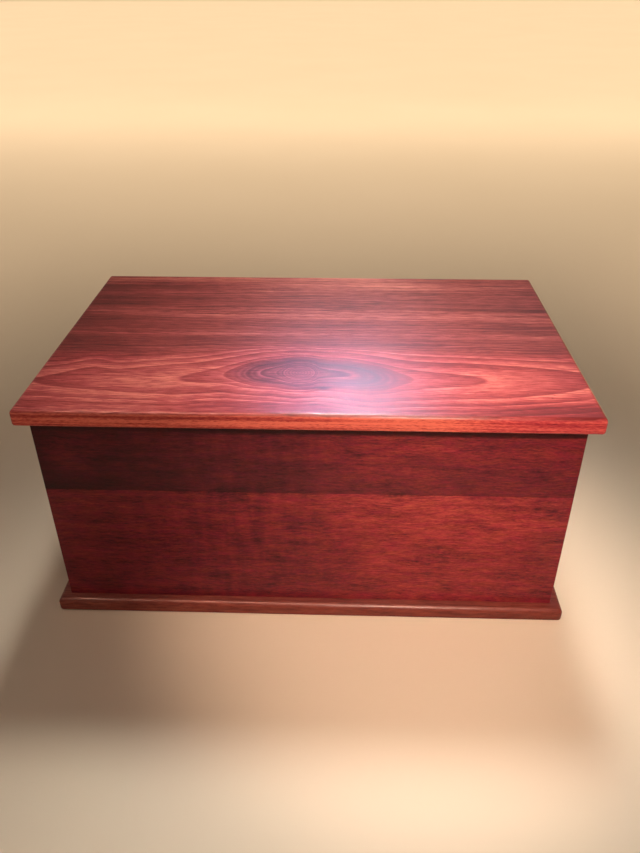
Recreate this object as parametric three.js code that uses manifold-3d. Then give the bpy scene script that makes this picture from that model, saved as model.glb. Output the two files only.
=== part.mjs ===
// A wooden urn box: four mitred walls, each of two boards glued edge to edge, stand on a
// base board and carry a lid board that lifts off. Lid and base stand out all round.
// Millimetres, +Z up, the front towards -Y, the origin at the middle of the underside.

import * as THREE from 'three';
import { mergeVertices } from 'three/addons/utils/BufferGeometryUtils.js';
import Module from 'manifold-3d';

// The walls
const BODY_LENGTH = 287.4; // over the outer faces, along X
const BODY_DEPTH = 177.4; // over the outer faces, along Y
const WALL_THICKNESS = 10;
const LOWER_BOARD_HEIGHT = 78;
const UPPER_BOARD_HEIGHT = 43.7;
const WALL_CORNER_ROUND = 0.8; // on the upright outer corners

// The base board
const BASE_THICKNESS = 8.5;
const BASE_OVERHANG = 6.3; // past the walls, on every side
const BASE_TOP_ROUND = 3;
const BASE_UNDER_ROUND = 1.5;

// The lid board, with a step on its underside that drops between the walls
const LID_THICKNESS = 9.2;
const LID_OVERHANG = 6.3;
const LID_TOP_ROUND = 2.5;
const LID_UNDER_ROUND = 1.5;
const STEP_DROP = 4; // how far the step reaches below the lid's underside
const STEP_CLEARANCE = 0.8; // from the step to each wall
const STEP_ROUND = 1;

// What lid, base and step share
const BOARD_CORNER_ROUND = 2.2; // seen from above

// Neighbouring boards keep this much apart, at glued joints too
const JOINT_GAP = 0.3;

const QUARTER_TURN = Math.PI / 2;
const CURVE_SEGMENTS = 4;

const wasm = await Module();
wasm.setup();

function toSolid(geometry) {
  const bare = geometry.clone();
  bare.deleteAttribute('normal');
  bare.deleteAttribute('uv');
  const merged = mergeVertices(bare);
  return new wasm.Manifold(
    new wasm.Mesh({
      numProp: 3,
      vertProperties: new Float32Array(merged.attributes.position.array),
      triVerts: new Uint32Array(merged.index.array),
    }),
  );
}

function toGeometry(solid) {
  const mesh = solid.getMesh();
  const geometry = new THREE.BufferGeometry();
  geometry.setAttribute('position', new THREE.BufferAttribute(mesh.vertProperties, 3));
  geometry.setIndex(new THREE.BufferAttribute(mesh.triVerts, 1));
  geometry.computeVertexNormals();
  return geometry;
}

// A rectangle on y = 0, centred on x = 0, with one radius on its low corners and one on its high.
function roundedRectangle(width, height, lowRound, highRound) {
  const outline = new THREE.Shape();
  const lowX = width / 2 - lowRound;
  const highX = width / 2 - highRound;
  const highY = height - highRound;
  outline.absarc(lowX, lowRound, lowRound, -QUARTER_TURN, 0);
  outline.absarc(highX, highY, highRound, 0, QUARTER_TURN);
  outline.absarc(-highX, highY, highRound, QUARTER_TURN, 2 * QUARTER_TURN);
  outline.absarc(-lowX, lowRound, lowRound, 2 * QUARTER_TURN, 3 * QUARTER_TURN);
  outline.closePath();
  return outline;
}

function extrude(outline, depth) {
  return new THREE.ExtrudeGeometry(outline, {
    depth,
    bevelEnabled: false,
    curveSegments: CURVE_SEGMENTS,
  });
}

// A block with rounded upright corners, standing on z = 0 around the Z axis.
function roundCorneredBlock(length, depth, height, cornerRound) {
  const plan = roundedRectangle(length, depth, cornerRound, cornerRound);
  return extrude(plan, height).translate(0, -depth / 2, 0);
}

// A board on z = 0 whose four edges are rounded above and below. It is what one prism along X,
// one along Y and one upright have in common, so the rounds meet in a mitre at each corner.
function roundEdgedBoard(length, depth, thickness, topRound, underRound, cornerRound) {
  const sideways = new THREE.Matrix4().makeBasis(
    new THREE.Vector3(0, 1, 0),
    new THREE.Vector3(0, 0, 1),
    new THREE.Vector3(1, 0, 0),
  );
  const upright = new THREE.Matrix4().makeBasis(
    new THREE.Vector3(1, 0, 0),
    new THREE.Vector3(0, 0, 1),
    new THREE.Vector3(0, -1, 0),
  );
  const alongX = extrude(roundedRectangle(depth, thickness, underRound, topRound), length)
    .translate(0, 0, -length / 2)
    .applyMatrix4(sideways);
  const alongY = extrude(roundedRectangle(length, thickness, underRound, topRound), depth)
    .translate(0, 0, -depth / 2)
    .applyMatrix4(upright);
  const plan = roundCorneredBlock(length, depth, thickness, cornerRound);
  return toSolid(alongX).intersect(toSolid(alongY)).intersect(toSolid(plan));
}

// A wall board standing on z = 0, its outer face on y = -reach, mitred at both ends. Half the
// joint gap comes off each mitre, and the box's outer corners are rounded.
function mitredBoard(length, reach, height) {
  const mitreShift = (JOINT_GAP / 2) * Math.SQRT2;
  const outerX = length / 2 - mitreShift;
  const innerX = outerX - WALL_THICKNESS;
  const innerY = -reach + WALL_THICKNESS;
  const plan = new THREE.Shape([
    new THREE.Vector2(-outerX, -reach),
    new THREE.Vector2(outerX, -reach),
    new THREE.Vector2(innerX, innerY),
    new THREE.Vector2(-innerX, innerY),
  ]);
  const block = roundCorneredBlock(length, 2 * reach, height, WALL_CORNER_ROUND);
  return toSolid(extrude(plan, height)).intersect(toSolid(block));
}

const box = new THREE.Group();

function addPiece(name, solid, color, roughness, z, turn = 0) {
  const material = new THREE.MeshStandardMaterial({
    color,
    roughness,
    metalness: 0,
    flatShading: true,
  });
  const mesh = new THREE.Mesh(toGeometry(solid), material);
  mesh.name = name;
  mesh.position.z = z;
  mesh.rotation.z = turn;
  box.add(mesh);
}

const lowerBoardZ = BASE_THICKNESS + JOINT_GAP;
const upperBoardZ = lowerBoardZ + LOWER_BOARD_HEIGHT + JOINT_GAP;
const lidZ = upperBoardZ + UPPER_BOARD_HEIGHT + JOINT_GAP;

function addBase() {
  const solid = roundEdgedBoard(
    BODY_LENGTH + 2 * BASE_OVERHANG,
    BODY_DEPTH + 2 * BASE_OVERHANG,
    BASE_THICKNESS,
    BASE_TOP_ROUND,
    BASE_UNDER_ROUND,
    BOARD_CORNER_ROUND,
  );
  addPiece('base', solid, '#7c3a2c', 0.42, 0);
}

function addWalls() {
  const sides = [
    { name: 'front', length: BODY_LENGTH, reach: BODY_DEPTH / 2 },
    { name: 'right', length: BODY_DEPTH, reach: BODY_LENGTH / 2 },
    { name: 'back', length: BODY_LENGTH, reach: BODY_DEPTH / 2 },
    { name: 'left', length: BODY_DEPTH, reach: BODY_LENGTH / 2 },
  ];
  sides.forEach(({ name, length, reach }, index) => {
    const turn = index * QUARTER_TURN;
    const lower = mitredBoard(length, reach, LOWER_BOARD_HEIGHT);
    const upper = mitredBoard(length, reach, UPPER_BOARD_HEIGHT);
    addPiece(`${name}_lower_board`, lower, '#6c2a28', 0.4, lowerBoardZ, turn);
    addPiece(`${name}_upper_board`, upper, '#5a2425', 0.4, upperBoardZ, turn);
  });
}

function addLid() {
  const board = roundEdgedBoard(
    BODY_LENGTH + 2 * LID_OVERHANG,
    BODY_DEPTH + 2 * LID_OVERHANG,
    LID_THICKNESS,
    LID_TOP_ROUND,
    LID_UNDER_ROUND,
    BOARD_CORNER_ROUND,
  );
  // The step is carved from the same board, so it runs up into it.
  const stepRise = LID_THICKNESS / 2;
  const stepInset = 2 * (WALL_THICKNESS + STEP_CLEARANCE);
  const step = roundEdgedBoard(
    BODY_LENGTH - stepInset,
    BODY_DEPTH - stepInset,
    STEP_DROP + stepRise,
    STEP_ROUND,
    STEP_ROUND,
    BOARD_CORNER_ROUND,
  ).translate([0, 0, -STEP_DROP]);
  addPiece('lid', board.add(step), '#b4504a', 0.36, lidZ);
}

addBase();
addWalls();
addLid();

export default box;
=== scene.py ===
import math

import bpy
from mathutils import Matrix, Vector, noise


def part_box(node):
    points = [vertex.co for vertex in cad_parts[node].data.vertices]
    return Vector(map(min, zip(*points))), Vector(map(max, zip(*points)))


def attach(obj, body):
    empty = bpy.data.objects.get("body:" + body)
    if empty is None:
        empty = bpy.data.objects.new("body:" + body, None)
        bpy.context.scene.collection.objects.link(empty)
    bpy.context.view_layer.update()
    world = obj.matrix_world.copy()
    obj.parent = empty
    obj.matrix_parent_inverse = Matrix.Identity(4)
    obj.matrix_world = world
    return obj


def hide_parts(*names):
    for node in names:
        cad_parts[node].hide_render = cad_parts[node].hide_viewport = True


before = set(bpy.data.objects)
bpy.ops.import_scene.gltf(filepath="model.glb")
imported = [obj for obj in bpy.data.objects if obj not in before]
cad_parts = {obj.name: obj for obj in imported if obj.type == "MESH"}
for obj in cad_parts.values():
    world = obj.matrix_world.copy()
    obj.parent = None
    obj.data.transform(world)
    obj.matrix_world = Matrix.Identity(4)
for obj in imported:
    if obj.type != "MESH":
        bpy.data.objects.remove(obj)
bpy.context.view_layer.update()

# The wooden urn box: a lid, a base and four mitred walls of two boards each, in satin-finished
# red hardwood. Lengths are in metres, and the materials work in millimetres.

MM = 0.001

# Sizes of the boards, from the frame where it has them

lid_low, lid_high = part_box("lid")
base_low, base_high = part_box("base")
front_low, front_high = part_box("front_lower_board")
_, right_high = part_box("right_lower_board")
upper_low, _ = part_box("front_upper_board")

HALF_LENGTH = right_high.x
HALF_DEPTH = -front_low.y
WALL = front_high.y - front_low.y
GLUE_LINE_Z = (front_high.z + upper_low.z) / 2
LID_THICKNESS = 9.2 * MM
LID_UNDERSIDE_Z = lid_high.z - LID_THICKNESS
STEP_CLEARANCE = 0.8 * MM

# Rounds on the edges of the boards
LID_TOP_ROUND = 2.5 * MM
LID_UNDER_ROUND = 1.5 * MM
BASE_TOP_ROUND = 3.0 * MM
BASE_UNDER_ROUND = 1.5 * MM
STEP_ROUND = 1.0 * MM
BOARD_CORNER_ROUND = 2.2 * MM
LEAST_ROUND = 0.3 * MM
WALL_CORNER_ROUND = 0.8 * MM

# How finely the boards are modelled, and from which angle on their edges stay sharp
GRID = 4 * MM
CORNER_STEPS = 4
ROUND_STEPS = 8
SHARP_ANGLE = math.radians(40)

# Glued boards meet with a hairline between them
HAIRLINE = 0.02 * MM

# Sanding by hand leaves the flats a little uneven: (length, depth) of its waves, and a seed for
# each board's pattern
SANDING_WAVES = ((34 * MM, 0.05 * MM), (9 * MM, 0.012 * MM))
LID_SEED = 1
BASE_SEED = 2
FIRST_WALL_SEED = 3


# Meshes of the boards

def side_points(half_run, reach, radius, run_steps):
    """One side of a rounded rectangle, on y = -reach, from mid-corner up to the next mid-corner."""
    centre_x = half_run - radius
    centre_y = radius - reach
    points = []
    for step in range(CORNER_STEPS):
        angle = math.radians(225 + 45 * step / CORNER_STEPS)
        points.append((-centre_x + radius * math.cos(angle), centre_y + radius * math.sin(angle)))
    for step in range(run_steps + 1):
        points.append((centre_x * (2 * step / run_steps - 1), -reach))
    for step in range(1, CORNER_STEPS):
        angle = math.radians(270 + 45 * step / CORNER_STEPS)
        points.append((centre_x + radius * math.cos(angle), centre_y + radius * math.sin(angle)))
    return points


def quarter_turns(point, turns):
    x, y = point
    for _ in range(turns):
        x, y = -y, x
    return x, y


def ring_points(half_x, half_y, radius, steps):
    """A rounded rectangle, anticlockwise from the middle of its front left corner."""
    points = []
    for turns in range(4):
        run, reach = (half_x, half_y) if turns % 2 == 0 else (half_y, half_x)
        side = side_points(run, reach, radius, steps[turns % 2])
        points += [quarter_turns(point, turns) for point in side]
    return points


def arc(radius, start, end, centre_inset, centre_z):
    """(inset, z) points of a rounded edge, its angle counted from straight out, upwards."""
    points = []
    for step in range(ROUND_STEPS + 1):
        angle = math.radians(start + (end - start) * step / ROUND_STEPS)
        points.append((centre_inset - radius * math.cos(angle), centre_z + radius * math.sin(angle)))
    return points


def lofted_board(half_x, half_y, profile):
    """Vertices and faces of a board whose edge follows (inset, z) points from underside to top."""
    steps = (round(2 * half_x / GRID), round(2 * half_y / GRID))
    count_x = steps[0] + 2 * CORNER_STEPS
    count_y = steps[1] + 2 * CORNER_STEPS
    around = 2 * (count_x + count_y)
    verts = []
    faces = []
    for inset, z in profile:
        radius = max(BOARD_CORNER_ROUND - inset, LEAST_ROUND)
        verts += [(x, y, z) for x, y in ring_points(half_x - inset, half_y - inset, radius, steps)]
    for level in range(len(profile) - 1):
        for i in range(around):
            low = level * around + i
            next_low = level * around + (i + 1) % around
            faces.append((low, next_low, next_low + around, low + around))

    def cap(level, facing_up):
        ring = level * around
        z = profile[level][1]
        grid = {}
        for i in range(count_x + 1):
            for j in range(count_y + 1):
                if j == 0:
                    grid[i, j] = ring + i
                elif i == count_x:
                    grid[i, j] = ring + count_x + j
                elif j == count_y:
                    grid[i, j] = ring + 2 * count_x + count_y - i
                elif i == 0:
                    grid[i, j] = ring + around - j
                else:
                    grid[i, j] = len(verts)
                    verts.append((verts[ring + i][0], verts[ring + around - j][1], z))
        for i in range(count_x):
            for j in range(count_y):
                face = (grid[i, j], grid[i + 1, j], grid[i + 1, j + 1], grid[i, j + 1])
                faces.append(face if facing_up else face[::-1])

    cap(0, False)
    cap(len(profile) - 1, True)
    return verts, faces


def mitred_board(half_run, reach, low_z, high_z, turns):
    """Vertices and faces of a wall board, its outer face on y = -reach before its quarter turns."""
    run_steps = round(2 * half_run / GRID)
    rows = max(round((high_z - low_z) / GRID), 1)
    outer = side_points(half_run, reach, WALL_CORNER_ROUND, run_steps)
    outer.append((-outer[0][0], outer[0][1]))
    shrink = 1 - HAIRLINE / half_run
    inner_half = half_run - WALL
    inner = [(x * inner_half / half_run, WALL - reach) for x, _ in outer]
    inner[0] = (-inner_half, WALL - reach)
    inner[-1] = (inner_half, WALL - reach)
    last = len(outer) - 1
    verts = []
    for row in range(rows + 1):
        z = low_z + (high_z - low_z) * row / rows
        for x, y in outer + inner:
            turned = quarter_turns((x * shrink, y), turns)
            verts.append((*turned, z))

    def at(row, i, inside):
        return (2 * row + inside) * (last + 1) + i

    faces = []
    for row in range(rows):
        for i in range(last):
            faces.append((at(row, i, 0), at(row, i + 1, 0), at(row + 1, i + 1, 0), at(row + 1, i, 0)))
            faces.append((at(row, i + 1, 1), at(row, i, 1), at(row + 1, i, 1), at(row + 1, i + 1, 1)))
        faces.append((at(row, 0, 1), at(row, 0, 0), at(row + 1, 0, 0), at(row + 1, 0, 1)))
        faces.append((at(row, last, 0), at(row, last, 1), at(row + 1, last, 1), at(row + 1, last, 0)))
    for i in range(last):
        faces.append((at(0, i, 0), at(0, i, 1), at(0, i + 1, 1), at(0, i + 1, 0)))
        faces.append((at(rows, i, 1), at(rows, i, 0), at(rows, i + 1, 0), at(rows, i + 1, 1)))
    return verts, faces


def sanded(mesh, seed):
    """Takes a few hundredths of a millimetre off the surface, here more and there less."""
    sanded_places = []
    for vertex in mesh.vertices:
        depth = 0
        for length, amount in SANDING_WAVES:
            place = vertex.co / length + Vector((seed, 2 * seed, 3 * seed))
            depth += amount * (0.5 + 0.5 * noise.noise(place))
        sanded_places.extend(vertex.co - depth * vertex.normal)
    mesh.vertices.foreach_set("co", sanded_places)
    mesh.update()


def placed(name, data):
    made = bpy.data.objects.new(name, data)
    bpy.context.scene.collection.objects.link(made)
    return made


def add_board(name, shape, material, node, seed):
    verts, faces = shape
    mesh = bpy.data.meshes.new(name)
    mesh.from_pydata(verts, [], faces)
    mesh.update()
    sanded(mesh, seed)
    mesh.polygons.foreach_set("use_smooth", [True] * len(mesh.polygons))
    mesh.set_sharp_from_angle(angle=SHARP_ANGLE)
    mesh.materials.append(material)
    piece = placed(name, mesh)
    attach(piece, "root")
    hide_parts(node)


# Node trees, written as arithmetic on fields

class Field:
    """A number or colour that varies over a surface: one node's output. Arithmetic adds nodes."""

    def __init__(self, shader, socket):
        self.shader = shader
        self.socket = socket

    def math(self, operation, *others):
        return self.shader.math(operation, self, *others)

    def __add__(self, other):
        return self.math("ADD", other)

    def __sub__(self, other):
        return self.math("SUBTRACT", other)

    def __rsub__(self, other):
        return self.shader.math("SUBTRACT", other, self)

    def __mul__(self, other):
        return self.math("MULTIPLY", other)

    def __truediv__(self, other):
        return self.math("DIVIDE", other)

    __radd__ = __add__

    def root(self):
        return self.math("SQRT")

    def clamped(self):
        return self.math("MAXIMUM", 0).math("MINIMUM", 1)

    def bump_at(self, centre, width):
        """1 at the centre, falling off on both sides over the width."""
        away = (self - centre) / width
        return (away * away * -1).math("EXPONENT")

    def step(self, start, end, low=0.0, high=1.0):
        """low before start, high after end, smooth between."""
        return self.shader.node(
            "ShaderNodeMapRange",
            {"interpolation_type": "SMOOTHSTEP"},
            {"Value": self, "From Min": start, "From Max": end, "To Min": low, "To Max": high},
            "Result",
        )


class Shader:
    """The node tree of a material or world. Each method adds a node and returns its output as a
    field."""

    def __init__(self, owner):
        owner.use_nodes = True
        self.owner = owner
        self.tree = owner.node_tree
        self.tree.nodes.clear()

    def node(self, kind, settings, inputs, output):
        made = self.tree.nodes.new(kind)
        for key, value in settings.items():
            setattr(made, key, value)
        for key, value in inputs.items():
            if isinstance(value, Field):
                self.tree.links.new(value.socket, made.inputs[key])
            else:
                made.inputs[key].default_value = value
        return Field(self, made.outputs[output])

    def math(self, operation, *values):
        return self.node("ShaderNodeMath", {"operation": operation}, dict(enumerate(values)), 0)

    def millimetres(self):
        """The row frame's x, y and z in millimetres."""
        place = self.node("ShaderNodeTexCoord", {}, {}, "Object")
        return [part * (1 / MM) for part in self.split(place)]

    def split(self, vector):
        parts = self.tree.nodes.new("ShaderNodeSeparateXYZ")
        self.tree.links.new(vector.socket, parts.inputs[0])
        return [Field(self, parts.outputs[axis]) for axis in range(3)]

    def noise(self, place, lengths, detail, roughness):
        """Noise around 0, from about -0.5 to 0.5, with a length for each direction."""
        parts = {axis: place[axis] / lengths[axis] for axis in range(3)}
        vector = self.node("ShaderNodeCombineXYZ", {}, parts, 0)
        made = self.node(
            "ShaderNodeTexNoise",
            {"noise_dimensions": "3D"},
            {"Vector": vector, "Scale": 1.0, "Detail": detail, "Roughness": roughness},
            0,
        )
        return made - 0.5

    def ramp(self, value, stops, start=0.0, end=1.0):
        """A colour for each value. Stops are (value, colour) or (value, tone), from start to end."""
        made = self.tree.nodes.new("ShaderNodeValToRGB")
        self.tree.links.new(((value - start) / (end - start)).socket, made.inputs[0])
        elements = made.color_ramp.elements
        while len(elements) < len(stops):
            elements.new(1.0)
        for element, (place, look) in zip(elements, stops):
            element.position = (place - start) / (end - start)
            element.color = (*look, 1) if isinstance(look, tuple) else (look, look, look, 1)
        return Field(self, made.outputs[0])

    def curve(self, value, points):
        """A smooth curve through (value, result) points, level beyond them."""
        start, end = points[0][0], points[-1][0]
        results = [result for _, result in points]
        low, high = min(results), max(results)
        made = self.tree.nodes.new("ShaderNodeFloatCurve")
        self.tree.links.new(((value - start) / (end - start)).clamped().socket, made.inputs["Value"])
        knots = made.mapping.curves[0].points
        while len(knots) < len(points):
            knots.new(0, 0)
        for knot, (place, result) in zip(knots, points):
            knot.location = ((place - start) / (end - start), (result - low) / (high - low))
        made.mapping.update()
        return Field(self, made.outputs["Value"]) * (high - low) + low

    def blend(self, share, first, second):
        """The first colour where the share is 0, the second where it is 1."""
        made = self.tree.nodes.new("ShaderNodeMix")
        made.data_type = "RGBA"
        ends = [socket for socket in made.inputs if socket.type == "RGBA"]
        self.tree.links.new(share.socket, made.inputs["Factor"])
        self.tree.links.new(first.socket, ends[0])
        self.tree.links.new(second.socket, ends[1])
        result = next(socket for socket in made.outputs if socket.type == "RGBA")
        return Field(self, result)

    def toned(self, tone, colours):
        """The colour of wood of that tone."""
        return self.ramp(tone, colours, 0, LIGHTEST_TONE)

    def shown(self, surface, output="ShaderNodeOutputMaterial"):
        """The material or world, with that surface as its look."""
        made = self.tree.nodes.new(output)
        self.tree.links.new(surface.socket, made.inputs["Surface"])
        return self.owner

    def finish(self, colour, roughness, height, grain):
        """Satin lacquer over wood of that colour, with a relief of height times the pores' depth.
        Fibres along the grain spread the gloss across it."""
        relief = self.node(
            "ShaderNodeBump", {}, {"Height": height, "Distance": PORE_DEPTH, "Strength": 1.0}, "Normal"
        )
        facing = self.node("ShaderNodeNewGeometry", {}, {}, "Normal")
        across = self.node(
            "ShaderNodeVectorMath", {"operation": "CROSS_PRODUCT"}, {0: facing, 1: grain}, 0
        )
        surface = self.node(
            "ShaderNodeBsdfPrincipled",
            {},
            {
                "Base Color": colour,
                "Roughness": roughness,
                "IOR": LACQUER_IOR,
                "Specular IOR Level": LACQUER_GLOSS,
                "Anisotropic": LACQUER_SPREAD,
                "Tangent": across,
                "Coat Weight": COAT_WEIGHT,
                "Coat Roughness": COAT_ROUGHNESS,
                "Normal": relief,
            },
            0,
        )
        return self.shown(surface)


# The lacquer's own gloss, with how far the fibres spread it, and a clear coat over it
LACQUER_IOR = 1.45
LACQUER_GLOSS = 0.135
LACQUER_SPREAD = 0.76
COAT_WEIGHT = 0.35
COAT_ROUGHNESS = 0.26
# Grain directions, a little off the axis so that they are never square to a face
GRAIN_X = (1, 0.03, 0.02)
GRAIN_Y = (0.03, 1, 0.02)
# How deep the relief of the pores is
PORE_DEPTH = 0.06 * MM

# Colours of the wood by tone, which is about how much red light it gives back
LIGHTEST_TONE = 0.75
LID_COLOURS = (
    (0.00, (0.05, 0.004, 0.004)),
    (0.20, (0.20, 0.016, 0.017)),
    (0.30, (0.30, 0.031, 0.032)),
    (0.42, (0.42, 0.057, 0.054)),
    (0.55, (0.55, 0.100, 0.085)),
    (LIGHTEST_TONE, (0.75, 0.205, 0.155)),
)
BAND_COLOURS = (
    (0.00, (0.05, 0.005, 0.004)),
    (0.20, (0.20, 0.025, 0.021)),
    (0.30, (0.30, 0.050, 0.040)),
    (0.42, (0.42, 0.086, 0.066)),
    (0.55, (0.55, 0.136, 0.102)),
    (LIGHTEST_TONE, (0.75, 0.235, 0.178)),
)
EYE_COLOURS = (
    (0.00, (0.04, 0.005, 0.007)),
    (0.15, (0.15, 0.018, 0.024)),
    (0.30, (0.30, 0.046, 0.054)),
    (0.55, (0.55, 0.110, 0.115)),
    (LIGHTEST_TONE, (0.75, 0.190, 0.180)),
)
CRIMSON_COLOURS = (
    (0.00, (0.010, 0.001, 0.003)),
    (0.10, (0.10, 0.005, 0.017)),
    (0.20, (0.20, 0.009, 0.023)),
    (0.30, (0.30, 0.018, 0.034)),
    (0.50, (0.50, 0.054, 0.058)),
    (LIGHTEST_TONE, (0.72, 0.130, 0.105)),
)
ORANGE_COLOURS = (
    (0.00, (0.010, 0.002, 0.003)),
    (0.10, (0.10, 0.008, 0.009)),
    (0.20, (0.20, 0.021, 0.016)),
    (0.30, (0.30, 0.040, 0.024)),
    (0.50, (0.50, 0.095, 0.050)),
    (LIGHTEST_TONE, (0.72, 0.190, 0.100)),
)
BASE_COLOURS = (
    (0.00, (0.020, 0.003, 0.003)),
    (0.10, (0.10, 0.013, 0.010)),
    (0.20, (0.20, 0.036, 0.024)),
    (0.30, (0.30, 0.072, 0.046)),
    (0.50, (0.50, 0.170, 0.110)),
    (LIGHTEST_TONE, (0.70, 0.300, 0.200)),
)

# Noises in lid and base. Each is (its lengths along the grain, across it and down, its detail,
# its roughness)
FINE_STREAKS = ((9, 0.55, 1.6), 3, 0.6)
LONG_STREAKS = ((90, 1.6, 6), 3, 0.7)
BOARD_PORES = ((2.6, 0.26, 0.5), 1, 0.4)
# Where that noise begins to be a pore, and where it is all pore
BOARD_PORE_EDGE = (0.13, 0.24)
# Roughness of lid and base between the pores, and how much pores and fine streaks add to it
BOARD_ROUGHNESS = 0.42
PORE_ROUGHNESS = 0.15
STREAK_ROUGHNESS = 0.06


def patched(tone, first, second, patches):
    """The tone with patches added, each (place, spread, place, spread, tone) in two directions."""
    for first_place, first_spread, second_place, second_spread, added in patches:
        patch = first.bump_at(first_place, first_spread) * second.bump_at(second_place, second_spread)
        tone = tone + patch * added
    return tone


def fibres_and_pores(shader, place):
    """Fine streaks and long streaks along the grain, and a mask of the short open pores."""
    fine = shader.noise(place, *FINE_STREAKS)
    long = shader.noise(place, *LONG_STREAKS)
    pores = shader.noise(place, *BOARD_PORES).step(*BOARD_PORE_EDGE)
    return fine, long, pores


def board_roughness(fine, pores):
    return BOARD_ROUGHNESS + pores * PORE_ROUGHNESS + fine * STREAK_ROUGHNESS


# The lid's figure: growth rings around a heart line, which runs along the board under its top
# and meets the top at the eye
EYE_X = -5
# (along the board, where the heart line lies across it)
HEART_LINE = ((-150, -62), (-100, -60), (-70, -58), (-5, -50), (50, -56), (100, -56.5), (150, -54))
# (how far from the eye, how deep the heart line lies), to its left and to its right
LEFT_DEPTHS = ((0, 0), (8, 7), (12, 9.5), (22, 12), (30, 15.5), (42, 19.5), (65, 21.9), (155, 28.6))
RIGHT_DEPTHS = ((0, 0), (8, 7.8), (11, 10.5), (30, 13.3), (45, 17.2), (59, 21.2), (102, 24.4), (155, 30))
# Right of the eye the rings lie wider apart: their count falls to this share, over this run
RIGHT_WIDENING = 0.9
WIDENING_RUN = 40
# Small waves in the rings, in all the grain, and in the streaks: (their noise, their reach)
RIPPLE = ((26, 14, 20), 2, 0.5)
RIPPLE_REACH = 1.4
SWAY = ((95, 60, 40), 2, 0.5)
SWAY_REACH = 5
WANDER = ((60, 18, 18), 1, 0.5)
WANDER_REACH = 6
# Bends in the rings at the left, behind the heart line: (x, its spread, how far they reach), and
# between which places across the board they fade in and out
HUMPS = ((-123, 12, 4.5), (-104, 10, -1.5))
HUMPS_START = (-62, -52)
HUMPS_END = (-15, -35)
# How far across from the heart line the rings pass into straight grain
STRAIGHTENING = (22, 42)
# The straight grain is counted from here. It swings back round the eye: how far, its spread
# along the board, and between which places across the board that fades out
STRAIGHT_START_Y = -62
SWING = 8
SWING_SPREAD = 60
SWING_FADE = (-25, 0)
# How far the straight grain shifts for each millimetre below the top
DROP_SHARE = 0.5
# Each ring is (its end, the tone of the fine line it starts with, its tone after that line, its
# tone where it ends)
LID_RINGS = (
    (7.3, 0.27, 0.27, 0.27),
    (8.6, 0.42, 0.27, 0.13),
    (9.9, 0.34, 0.34, 0.14),
    (12.0, 0.39, 0.27, 0.16),
    (15.5, 0.40, 0.25, 0.15),
    (19.5, 0.26, 0.26, 0.29),
    (22.0, 0.54, 0.46, 0.29),
    (28.0, 0.62, 0.56, 0.27),
    (32.5, 0.62, 0.58, 0.28),
    (36.0, 0.60, 0.60, 0.24),
    (40.0, 0.38, 0.38, 0.23),
    (44.0, 0.34, 0.34, 0.20),
    (48.0, 0.31, 0.31, 0.20),
)
# How wide a ring's crisp edge is, and its fine line, and how the last ring blurs into the bands
RING_EDGE = 0.22
RING_LINE = 0.5
LAST_RING = LID_RINGS[-1][0]
LAST_RING_BLUR = 0.1
# Beyond the rings the grain is straight: bands of (how far across the board, tone)
LID_BANDS = (
    (48, 0.27), (52, 0.22), (55, 0.25), (58, 0.31), (61, 0.41), (64, 0.31), (67, 0.29), (71, 0.25),
    (75, 0.25), (79, 0.28), (83, 0.28), (86, 0.36), (90, 0.40), (96, 0.35), (99, 0.30), (102, 0.22),
    (106, 0.25), (110, 0.21), (114, 0.25), (122, 0.24), (128, 0.26), (131, 0.37), (134, 0.25),
    (146, 0.24), (150, 0.40), (156, 0.46),
)
# How the bands lean: (across the board, rise along it)
BAND_LEAN = ((-40, 0), (0, 0), (30, 0.026), (45, 0), (66, -0.06), (95, -0.06))
# Lighter and darker places on the top, mostly the wood's own: (x, its spread, y, its spread, tone)
LID_TONE_AND_SHADE_PATCHES = (
    (110, 60, 75, 25, 0.05),
    (20, 80, 60, 40, 0.05),
    (35, 40, -84, 10, -0.06),
    (-98, 36, -66, 26, 0.15),
    (32, 46, 80, 7, 0.26),
    (20, 50, -80, 14, -0.07),
    (0, 42, -32, 18, -0.10),
    (8, 5, -67, 1.6, -0.40),
    (60, 45, -40, 14, -0.10),
    (125, 40, -86, 10, -0.14),
    (-110, 60, -92, 5, 0.16),
    # These two darken the lid's left end: painted shade, not the wood's own tone
    (-140, 44, 20, 80, -0.095),
    (-150, 40, 86, 18, -0.04),
    (-80, 20, -38, 10, 0.05),
    (118, 34, 5, 30, -0.03),
    (-36, 24, 74, 18, 0.06),
    (125, 30, 85, 20, 0.02),
)
# Darker by a share of the tone there: (x, its spread, y, its spread, share)
EYE_SHADE = (36, 21, -62, 26, 0.45)
# Fine rings in the eye: how far apart, and by what share of the tone
FINE_RING = 1.5
FINE_RING_DEPTH = 0.18
# From which ring inwards the fine rings and the eye's colours come in, and where they are full
FINE_RINGS = (20, 16)
EYE_RINGS = (20, 15)
# How far straight grain takes on the bands' browner colours
STRAIGHT_BROWNING = 0.8
# Clouds on the lid's top, and how much each pattern changes the tone. Long streaks change it more
# where the grain is straight.
LID_CLOUDS = ((50, 20, 20), 2, 0.5)
LID_CLOUD_SHARE = 0.5
LID_FINE_SHARE = 2.5
LID_LONG_SHARE = 1.0
STRAIGHT_LONG_SHARE = 1.9
LID_PORE_SHARE = 0.35
LID_FIBRE_HEIGHT = 0.5
# The lid's front and back edges cut the rings flat: their tone along them, and how much of it is
# left at each depth under the top to the left of the middle
EDGE_TONES = ((-150, 0.61), (-60, 0.66), (0, 0.72), (55, 0.75), (85, 0.62), (115, 0.46), (150, 0.46))
EDGE_ROWS = ((0, 1), (1.4, 1), (2.4, 0.55), (3.2, 0.62), (4.2, 1.1), (5.8, 1.05), (7.4, 0.8), (9.2, 0.7))
# Between these places along the edge the difference between the rows fades out
EDGE_ROWS_FADE = (0, 70)
# Where the edge takes over from the top: from here to there below the top, and from here to there
# in front of the middle or behind it
EDGE_DROP = (0.6, 1.6)
EDGE_Y = (93.4, 94.4)
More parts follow.
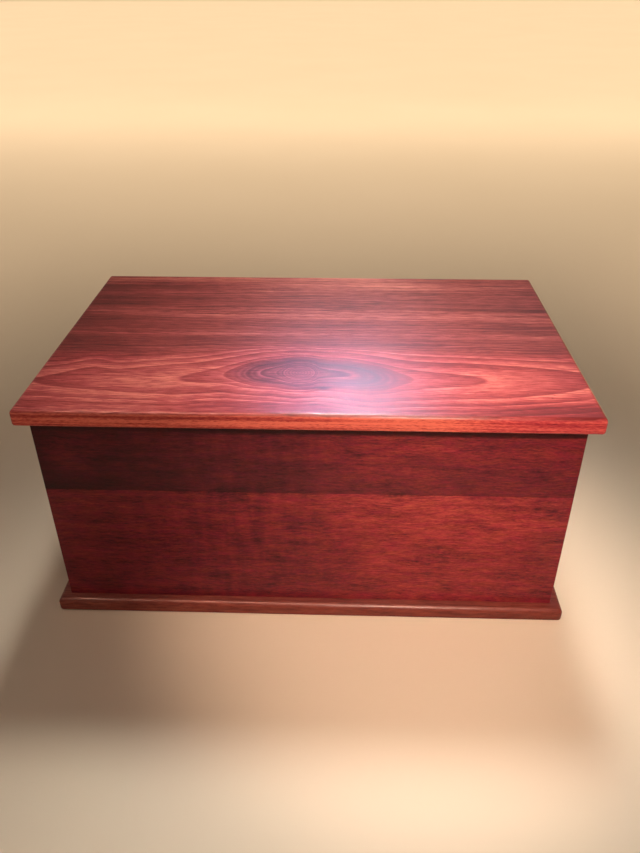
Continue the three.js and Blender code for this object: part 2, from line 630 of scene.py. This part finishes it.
# Lines and flecks on the edge, and how much each changes the tone. Distances across the board
# count by a share only, which draws both out that way.
EDGE_LINES = ((45, 3, 0.7), 3, 0.6)
EDGE_LINE_SHARE = 1.8
EDGE_FLECKS = ((2.5, 3, 0.4), 2, 0.6)
EDGE_FLECK_SHARE = 1.7
EDGE_STRETCH = 0.2
# How orange the edge is: (from x, to x, at the left, at the right)
EDGE_ORANGE = (60, 110, 0.4, 0.05)


def ring_stops(rings):
    """Ramp stops of rings that start with a fine line after a crisp edge."""
    stops = []
    start = 0
    for end, line, light, dark in rings:
        stops.append((start, line))
        if light != line:
            stops.append((start + RING_LINE, light))
        stops.append((end - RING_EDGE, dark))
        start = end
    return stops


def lid_rings(shader, x, y, drop):
    """How far a point is from the heart line, in rings, and how straight the grain is there. Drop
    is how far it is below the top."""
    ripple = shader.noise((x, y, drop), *RIPPLE) * RIPPLE_REACH
    hump = sum(x.bump_at(place, spread) * reach for place, spread, reach in HUMPS)
    behind_heart = y.step(*HUMPS_START) * y.step(*HUMPS_END)
    across = y - shader.curve(x, HEART_LINE) + ripple - hump * behind_heart
    left = shader.curve((x - EYE_X) * -1, LEFT_DEPTHS)
    right = shader.curve(x - EYE_X, RIGHT_DEPTHS)
    depth = left + right - drop
    widening = x.step(EYE_X, EYE_X + WIDENING_RUN, 1, RIGHT_WIDENING)
    near = (across * across + depth * depth).root() * widening
    sway = shader.noise((x, y, drop), *SWAY) * SWAY_REACH
    swing = x.bump_at(EYE_X, SWING_SPREAD) * y.step(*SWING_FADE, SWING, 0)
    lean = shader.curve(y, BAND_LEAN) * x
    far = y - STRAIGHT_START_Y - swing + lean + sway + ripple - drop * DROP_SHARE
    straight = across.step(*STRAIGHTENING)
    return near + (far - near) * straight, straight


def lid_figure(shader, x, y, rings):
    """The tone of rings and bands, without streaks and pores."""
    inner = shader.ramp(rings, ring_stops(LID_RINGS), 0, LAST_RING)
    outer = shader.ramp(rings, LID_BANDS, LID_BANDS[0][0], LID_BANDS[-1][0])
    past_rings = rings.step(LAST_RING - LAST_RING_BLUR, LAST_RING + LAST_RING_BLUR)
    # The patches include painted shade at the lid's left end
    figure = patched(inner + (outer - inner) * past_rings, x, y, LID_TONE_AND_SHADE_PATCHES)
    shade_x, shade_width, shade_y, shade_depth, share = EYE_SHADE
    shade = x.bump_at(shade_x, shade_width) * y.bump_at(shade_y, shade_depth) * share
    wave = (rings * (math.tau / FINE_RING)).math("SINE")
    fine_rings = wave * rings.step(*FINE_RINGS) * FINE_RING_DEPTH
    return figure * (fine_rings - shade + 1)


def lid_edge_colour(shader, x, y, z, drop):
    """The colour of the lid's front and back edges."""
    place = (x, y * EDGE_STRETCH, z)
    lines = shader.noise(place, *EDGE_LINES) * EDGE_LINE_SHARE
    flecks = shader.noise(place, *EDGE_FLECKS) * EDGE_FLECK_SHARE
    rows = shader.curve(drop, EDGE_ROWS)
    rows = rows + (1 - rows) * x.step(*EDGE_ROWS_FADE)
    tone = shader.curve(x, EDGE_TONES) * rows * (lines + flecks + 1)
    crimson = shader.toned(tone, CRIMSON_COLOURS)
    orange = shader.toned(tone, ORANGE_COLOURS)
    return shader.blend(x.step(*EDGE_ORANGE), crimson, orange)


def lid_wood():
    shader = Shader(bpy.data.materials.new("lid_wood"))
    x, y, z = shader.millimetres()
    drop = lid_high.z / MM - z
    rings, straight = lid_rings(shader, x, y, drop)
    wander = shader.noise((x, y, z), *WANDER) * WANDER_REACH
    fine, long, pores = fibres_and_pores(shader, (x, y + wander, z))
    clouds = shader.noise((x, y, z), *LID_CLOUDS)
    streaks = fine * LID_FINE_SHARE + long * (straight * STRAIGHT_LONG_SHARE + LID_LONG_SHARE)
    streaks = streaks + clouds * LID_CLOUD_SHARE - pores * LID_PORE_SHARE
    tone = lid_figure(shader, x, y, rings) * (streaks + 1)
    ring_colour = shader.toned(tone, LID_COLOURS)
    band_colour = shader.toned(tone, BAND_COLOURS)
    eye_colour = shader.toned(tone, EYE_COLOURS)
    top_colour = shader.blend(straight * STRAIGHT_BROWNING, ring_colour, band_colour)
    top_colour = shader.blend(rings.step(*EYE_RINGS), top_colour, eye_colour)
    start_y, end_y = EDGE_Y
    edge = drop.step(*EDGE_DROP) * (y * y).step(start_y * start_y, end_y * end_y)
    colour = shader.blend(edge, top_colour, lid_edge_colour(shader, x, y, z, drop))
    height = fine * LID_FIBRE_HEIGHT - pores
    return shader.finish(colour, board_roughness(fine, pores), height, GRAIN_X)


def wall_place(shader, turns):
    """Along the grain, up, and into the board, in millimetres, with the grain running on round
    the corners from the front wall to the right, the back and the left."""
    x, y, z = shader.millimetres()
    half_x, half_y = HALF_LENGTH / MM, HALF_DEPTH / MM
    if turns == 0:
        return x, z, y + half_y
    if turns == 1:
        return y + (half_x + half_y), z, half_x - x
    if turns == 2:
        return 2 * (half_x + half_y) - x, z, half_y - y
    return 3 * (half_x + half_y) - y, z, x + half_x


# Noises in the walls: (their lengths along the grain, up, and into the board, their detail,
# their roughness), and how much each changes the tone
WALL_WAVE = ((36, 22, 30), 2, 0.5)
WALL_WAVE_REACH = 6
WALL_CLOUDS = ((30, 12, 25), 3, 0.6)
WALL_CLOUD_SHARE = 1.5
WALL_STREAKS = ((16, 2.6, 5), 2, 0.5)
WALL_STREAK_SHARE = 1.0
WALL_DASHES = ((6.5, 0.8, 1.5), 3, 0.65)
WALL_DASH_SHARE = 2.2
WALL_FLECKS = ((2.2, 0.45, 0.8), 2, 0.6)
WALL_FLECK_SHARE = 1.3
WALL_BANDS = ((150, 4.5, 12), 2, 0.5)
WALL_BAND_SHARE = 0.7
WALL_PORES = ((2.8, 0.28, 0.5), 1, 0.4)
WALL_PORE_EDGE = (0.12, 0.24)
WALL_PORE_SHARE = 0.4
# Upright ribbons left of the middle of the front
WALL_RIBBONS = ((7, 40, 20), 2, 0.5)
WALL_RIBBON_PLACE = (-35, 45)
WALL_RIBBON_SHARE = 1.4
# The walls' hue goes from 0, crimson, to 1, orange: its noise and its usual value, and how much
# that noise and the dashes change it
WALL_HUES = ((14, 3.5, 9), 3, 0.6)
USUAL_HUE = 0.4
WALL_HUE_SHARE = 2.2
DASH_HUE_SHARE = 0.8
# Roughness between the pores, and how much the dashes change it and the relief
WALL_ROUGHNESS = 0.45
DASH_ROUGHNESS = 0.05
DASH_HEIGHT = 0.3


def wall_wood(name, turns, tone_of):
    shader = Shader(bpy.data.materials.new(name))
    along, up, into = wall_place(shader, turns)
    wave = shader.noise((along, up, into), *WALL_WAVE) * WALL_WAVE_REACH
    waved = (along, up + wave, into)
    clouds = shader.noise(waved, *WALL_CLOUDS) * WALL_CLOUD_SHARE
    streaks = shader.noise(waved, *WALL_STREAKS) * WALL_STREAK_SHARE
    dashes = shader.noise(waved, *WALL_DASHES)
    flecks = shader.noise(waved, *WALL_FLECKS) * WALL_FLECK_SHARE
    bands = shader.noise(waved, *WALL_BANDS) * WALL_BAND_SHARE
    pores = shader.noise(waved, *WALL_PORES).step(*WALL_PORE_EDGE)
    ribbons = shader.noise(waved, *WALL_RIBBONS) * along.bump_at(*WALL_RIBBON_PLACE)
    grain = clouds + streaks + dashes * WALL_DASH_SHARE + flecks + bands
    grain = grain - pores * WALL_PORE_SHARE + ribbons * WALL_RIBBON_SHARE
    tone = tone_of(shader, along, up) * (grain + 1)
    crimson = shader.toned(tone, CRIMSON_COLOURS)
    orange = shader.toned(tone, ORANGE_COLOURS)
    hue = shader.noise(waved, *WALL_HUES) * WALL_HUE_SHARE + dashes * DASH_HUE_SHARE
    colour = shader.blend((hue + USUAL_HUE).clamped(), crimson, orange)
    roughness = WALL_ROUGHNESS + pores * PORE_ROUGHNESS + dashes * DASH_ROUGHNESS
    height = dashes * DASH_HEIGHT - pores
    return shader.finish(colour, roughness, height, GRAIN_Y if turns % 2 else GRAIN_X)


# The front wall's tones: (along it, tone). Round the corners the last tone goes on.
LOWER_TONES = (
    (-145, 0.162), (-100, 0.148), (-60, 0.135), (-20, 0.143), (10, 0.175), (30, 0.22), (70, 0.245),
    (110, 0.22), (145, 0.19),
)
UPPER_TONES = (
    (-145, 0.046), (-60, 0.090), (-20, 0.091), (15, 0.13), (50, 0.165), (85, 0.145), (145, 0.145),
)
# How the tones change with height, and close under the lid: (from, to, share below, share above)
LOWER_RISE = (40, 80, 0.92, 1.1)
UPPER_RISE = (88, 115, 0.8, 1.08)
# Close under the lid the upper boards are darker: a painted shadow of the lid's overhang
PAINTED_LID_SHADOW = (124.5, 126.5, 1, 0.45)
# Places on the front wall: (along it, their spread, height, their spread, how much lighter)
LOWER_PATCHES = ((45, 50, 83, 5, 0.03), (112, 20, 66, 10, 0.03), (20, 30, 30, 14, -0.02))
UPPER_PATCHES = ((64, 20, 117, 3.5, 0.07), (58, 18, 108, 3.5, -0.05), (-128, 14, 112, 10, 0.05))


def lower_tone(shader, along, up):
    tone = shader.curve(along, LOWER_TONES) * up.step(*LOWER_RISE)
    return patched(tone, along, up, LOWER_PATCHES)


def upper_tone(shader, along, up):
    tone = shader.curve(along, UPPER_TONES) * up.step(*UPPER_RISE)
    # Darker close under the lid: painted shadow of the overhang
    return patched(tone, along, up, UPPER_PATCHES) * up.step(*PAINTED_LID_SHADOW)


# The base's own noises and how much each pattern changes its tone, as in the lid
BASE_WAVE = ((60, 25, 20), 2, 0.5)
BASE_WAVE_REACH = 4
BASE_CLOUDS = ((45, 12, 9), 2, 0.5)
BASE_CLOUD_SHARE = 0.8
BASE_FINE_SHARE = 1.4
BASE_LONG_SHARE = 1.2
BASE_PORE_SHARE = 0.3
BASE_FIBRE_HEIGHT = 0.4
# Its tone: (from x, to x, tone at the left, tone at the right); the lighter left end is painted light
BASE_TONE_AND_PAINTED_LIGHT = (-150, 20, 0.215, 0.175)


def base_wood():
    shader = Shader(bpy.data.materials.new("base_wood"))
    x, y, z = shader.millimetres()
    wave = shader.noise((x, y, z), *BASE_WAVE) * BASE_WAVE_REACH
    place = (x, y + wave, z)
    fine, long, pores = fibres_and_pores(shader, place)
    clouds = shader.noise(place, *BASE_CLOUDS)
    streaks = fine * BASE_FINE_SHARE + long * BASE_LONG_SHARE
    streaks = streaks + clouds * BASE_CLOUD_SHARE - pores * BASE_PORE_SHARE
    # Lighter towards the left end: painted light where the key lamp falls off
    colour = shader.toned((streaks + 1) * x.step(*BASE_TONE_AND_PAINTED_LIGHT), BASE_COLOURS)
    height = fine * BASE_FIBRE_HEIGHT - pores
    return shader.finish(colour, board_roughness(fine, pores), height, GRAIN_X)


# The pieces

def add_lid():
    step_inset = lid_high.x - HALF_LENGTH + WALL + STEP_CLEARANCE
    step_arc = arc(STEP_ROUND, -90, 0, step_inset + STEP_ROUND, lid_low.z + STEP_ROUND)
    under_arc = arc(LID_UNDER_ROUND, -90, 0, LID_UNDER_ROUND, LID_UNDERSIDE_Z + LID_UNDER_ROUND)
    top_arc = arc(LID_TOP_ROUND, 0, 90, LID_TOP_ROUND, lid_high.z - LID_TOP_ROUND)
    profile = step_arc + [(step_inset, LID_UNDERSIDE_Z)] + under_arc + top_arc
    shape = lofted_board(lid_high.x, lid_high.y, profile)
    add_board("urn_lid", shape, lid_wood(), "lid", LID_SEED)


def add_base():
    under_arc = arc(BASE_UNDER_ROUND, -90, 0, BASE_UNDER_ROUND, base_low.z + BASE_UNDER_ROUND)
    top_arc = arc(BASE_TOP_ROUND, 0, 90, BASE_TOP_ROUND, base_high.z - BASE_TOP_ROUND)
    shape = lofted_board(base_high.x, base_high.y, under_arc + top_arc)
    add_board("urn_base", shape, base_wood(), "base", BASE_SEED)


def add_walls():
    rows = (
        ("lower", base_high.z + HAIRLINE, GLUE_LINE_Z - HAIRLINE, lower_tone),
        ("upper", GLUE_LINE_Z + HAIRLINE, LID_UNDERSIDE_Z - HAIRLINE, upper_tone),
    )
    for row, low_z, high_z, tone_of in rows:
        for turns, side in enumerate(("front", "right", "back", "left")):
            lengths = (HALF_LENGTH, HALF_DEPTH) if turns % 2 == 0 else (HALF_DEPTH, HALF_LENGTH)
            node = f"{side}_{row}_board"
            material = wall_wood(f"{side}_{row}_wood", turns, tone_of)
            shape = mitred_board(*lengths, low_z, high_z, turns)
            seed = FIRST_WALL_SEED + turns
            add_board(f"urn_{node}", shape, material, node, seed)


# The stage, the lights and the camera

# The backdrop: (the sine of the angle above the horizon, colour)
BACKDROP = ((0.0, (0.55, 0.42, 0.27)), (0.08, (0.44, 0.35, 0.24)), (0.27, (0.09, 0.08, 0.07)))

FLOOR_LEFT, FLOOR_RIGHT = -4.8, 4.8
FLOOR_FRONT, FLOOR_BACK = -5.8, 9
# The floor's colour goes from the first to the second, in faint wide patches
FLOOR_PATCHES = ((300, 300, 300), 2, 0.5)
FLOOR_COLOURS = ((0.0, (0.70, 0.58, 0.43)), (1.0, (0.74, 0.62, 0.47)))
FLOOR_ROUGHNESS = 0.7


def add_floor():
    mesh = bpy.data.meshes.new("floor")
    corners = (
        (FLOOR_LEFT, FLOOR_FRONT, 0),
        (FLOOR_RIGHT, FLOOR_FRONT, 0),
        (FLOOR_RIGHT, FLOOR_BACK, 0),
        (FLOOR_LEFT, FLOOR_BACK, 0),
    )
    mesh.from_pydata(corners, [], [(0, 1, 2, 3)])
    shader = Shader(bpy.data.materials.new("floor"))
    patches = shader.noise(shader.millimetres(), *FLOOR_PATCHES)
    colour = shader.ramp(patches + 0.5, FLOOR_COLOURS)
    surface = shader.node(
        "ShaderNodeBsdfPrincipled", {}, {"Base Color": colour, "Roughness": FLOOR_ROUGHNESS}, 0
    )
    mesh.materials.append(shader.shown(surface))
    floor = placed("floor", mesh)


def aimed(place, target):
    return (Vector(target) - Vector(place)).to_track_quat("-Z", "Y").to_euler()


def add_light(name, kind, place, target, watts, colour, **settings):
    """A lamp at the place, aimed at the target, that the camera doesn't see."""
    light = bpy.data.lights.new(name, kind)
    light.energy = watts
    light.color = colour
    for key, value in settings.items():
        setattr(light, key, value)
    lamp = placed(name, light)
    lamp.location = place
    lamp.rotation_euler = aimed(place, target)
    lamp.visible_camera = False
    return lamp


def add_lights():
    # A warm lamp from the front and above, and a cooler, softer one from behind and above
    add_light(
        "key", "SPOT", (0.12, -0.55, 0.66), (0.07, -0.12, 0.08), 26, (1.0, 0.73, 0.58),
        spot_size=math.radians(27), spot_blend=1.0, shadow_soft_size=0.016,
    )
    add_light(
        "back", "SPOT", (0.065, 0.50, 1.00), (0.04, -0.042, 0.14), 82, (0.80, 0.78, 0.74),
        spot_size=math.radians(26), spot_blend=1.0, shadow_soft_size=0.15,
    )
    fill = add_light(
        "fill", "AREA", (0.25, -1.1, 1.1), (0.05, -0.06, 0.08), 3, (1.0, 0.80, 0.62),
        shape="DISK", size=1.0,
    )
    fill.visible_glossy = False
    add_light(
        "panel", "AREA", (0.03, 0.80, 0.50), (0.03, 0.0, 0.10), 0.09, (1.0, 0.80, 0.80),
        shape="RECTANGLE", size=0.3, size_y=0.4,
    )
    # Four that only the finish reflects: a violet sheen on the lid's front, a faint one on its
    # right, a long line on the rounds of lid and base, and a short bright line on the lid's round
    sheen = add_light(
        "sheen", "AREA", (0.03, 0.80, 0.66), (0.022, -0.160, 0.14), 0.034, (0.33, 0.39, 1.0),
        shape="RECTANGLE", size=0.40, size_y=0.08, spread=math.radians(16),
    )
    sheen.visible_diffuse = False
    faint = add_light(
        "faint", "AREA", (0.40, 0.72, 0.65), (0.10, 0.0, 0.14), 0.32, (1.0, 0.92, 1.0),
        shape="RECTANGLE", size=0.35, size_y=0.35,
    )
    faint.visible_diffuse = False
    line = add_light(
        "line", "AREA", (-0.10, -0.25, 1.00), (0.0, -0.095, 0.10), 14, (1.0, 0.62, 0.44),
        shape="RECTANGLE", size=0.9, size_y=0.05,
    )
    line.visible_diffuse = False
    spark = add_light(
        "spark", "AREA", (0.055, 0.62, 0.80), (0.03, -0.093, 0.14), 0.014, (1.0, 0.93, 0.95),
        shape="RECTANGLE", size=0.05, size_y=0.03, spread=math.radians(8),
    )
    spark.visible_diffuse = False
    # More for the floor, each straight down: (place, length, depth, watts)
    floor_lights = (
        ((0, 1.05, 1.1), 8, 1.2, 26),
        ((0, 4.9, 1.6), 8, 7, 260),
        ((-0.75, 0.0, 0.7), 0.4, 0.9, 1.2),
        ((0.75, 0.0, 0.7), 0.4, 0.9, 2.8),
        ((-2.9, -2.2, 1.6), 2.6, 6, 80),
        ((2.9, -2.2, 1.6), 2.6, 6, 80),
        ((0, -3.4, 1.6), 3.2, 4, 66),
    )
    for (place_x, place_y, place_z), length, depth, watts in floor_lights:
        floor_light = add_light(
            "floor_light", "AREA", (place_x, place_y, place_z), (place_x, place_y, 0), watts,
            (1.0, 0.82, 0.62), shape="RECTANGLE", size=length, size_y=depth, spread=math.radians(60),
        )
        floor_light.visible_glossy = False


def add_backdrop():
    """A pale backdrop all round, low down, and a dim ceiling above it."""
    shader = Shader(bpy.data.worlds.new("world"))
    direction = shader.node("ShaderNodeTexCoord", {}, {}, "Generated")
    height = shader.split(direction)[2]
    colour = shader.ramp(height, BACKDROP)
    surface = shader.node("ShaderNodeBackground", {}, {"Color": colour}, 0)
    bpy.context.scene.world = shader.shown(surface, "ShaderNodeOutputWorld")
    bpy.context.scene.view_settings.view_transform = "Standard"


# The photo's camera: where it stands, how it is turned, and its focal length in the photo's
# pixels. The width of its sensor is in millimetres.
CAMERA_PLACE = (18.06 * MM, -406.85 * MM, 331.13 * MM)
CAMERA_DOWN = math.radians(32.283)
CAMERA_YAW = math.radians(-1.954)
CAMERA_ROLL = math.radians(-0.182)
FOCAL_PIXELS = 737
LONG_SIDE_PIXELS = 853
SENSOR_WIDTH = 36
NEAREST_SEEN = 0.01


def add_camera():
    data = bpy.data.cameras.new("camera")
    data.sensor_width = SENSOR_WIDTH
    data.lens = SENSOR_WIDTH * FOCAL_PIXELS / LONG_SIDE_PIXELS
    data.clip_start = NEAREST_SEEN
    camera = placed("camera", data)
    forward = Vector((
        math.sin(CAMERA_YAW) * math.cos(CAMERA_DOWN),
        math.cos(CAMERA_YAW) * math.cos(CAMERA_DOWN),
        -math.sin(CAMERA_DOWN),
    ))
    level = Vector((math.cos(CAMERA_YAW), -math.sin(CAMERA_YAW), 0))
    upright = level.cross(forward)
    right = level * math.cos(CAMERA_ROLL) + upright * math.sin(CAMERA_ROLL)
    up = upright * math.cos(CAMERA_ROLL) - level * math.sin(CAMERA_ROLL)
    turned = Matrix((right, up, -forward)).transposed().to_4x4()
    camera.matrix_world = Matrix.Translation(CAMERA_PLACE) @ turned
    bpy.context.scene.camera = camera


add_camera()
add_lights()
add_backdrop()
add_floor()
add_base()
add_walls()
add_lid()
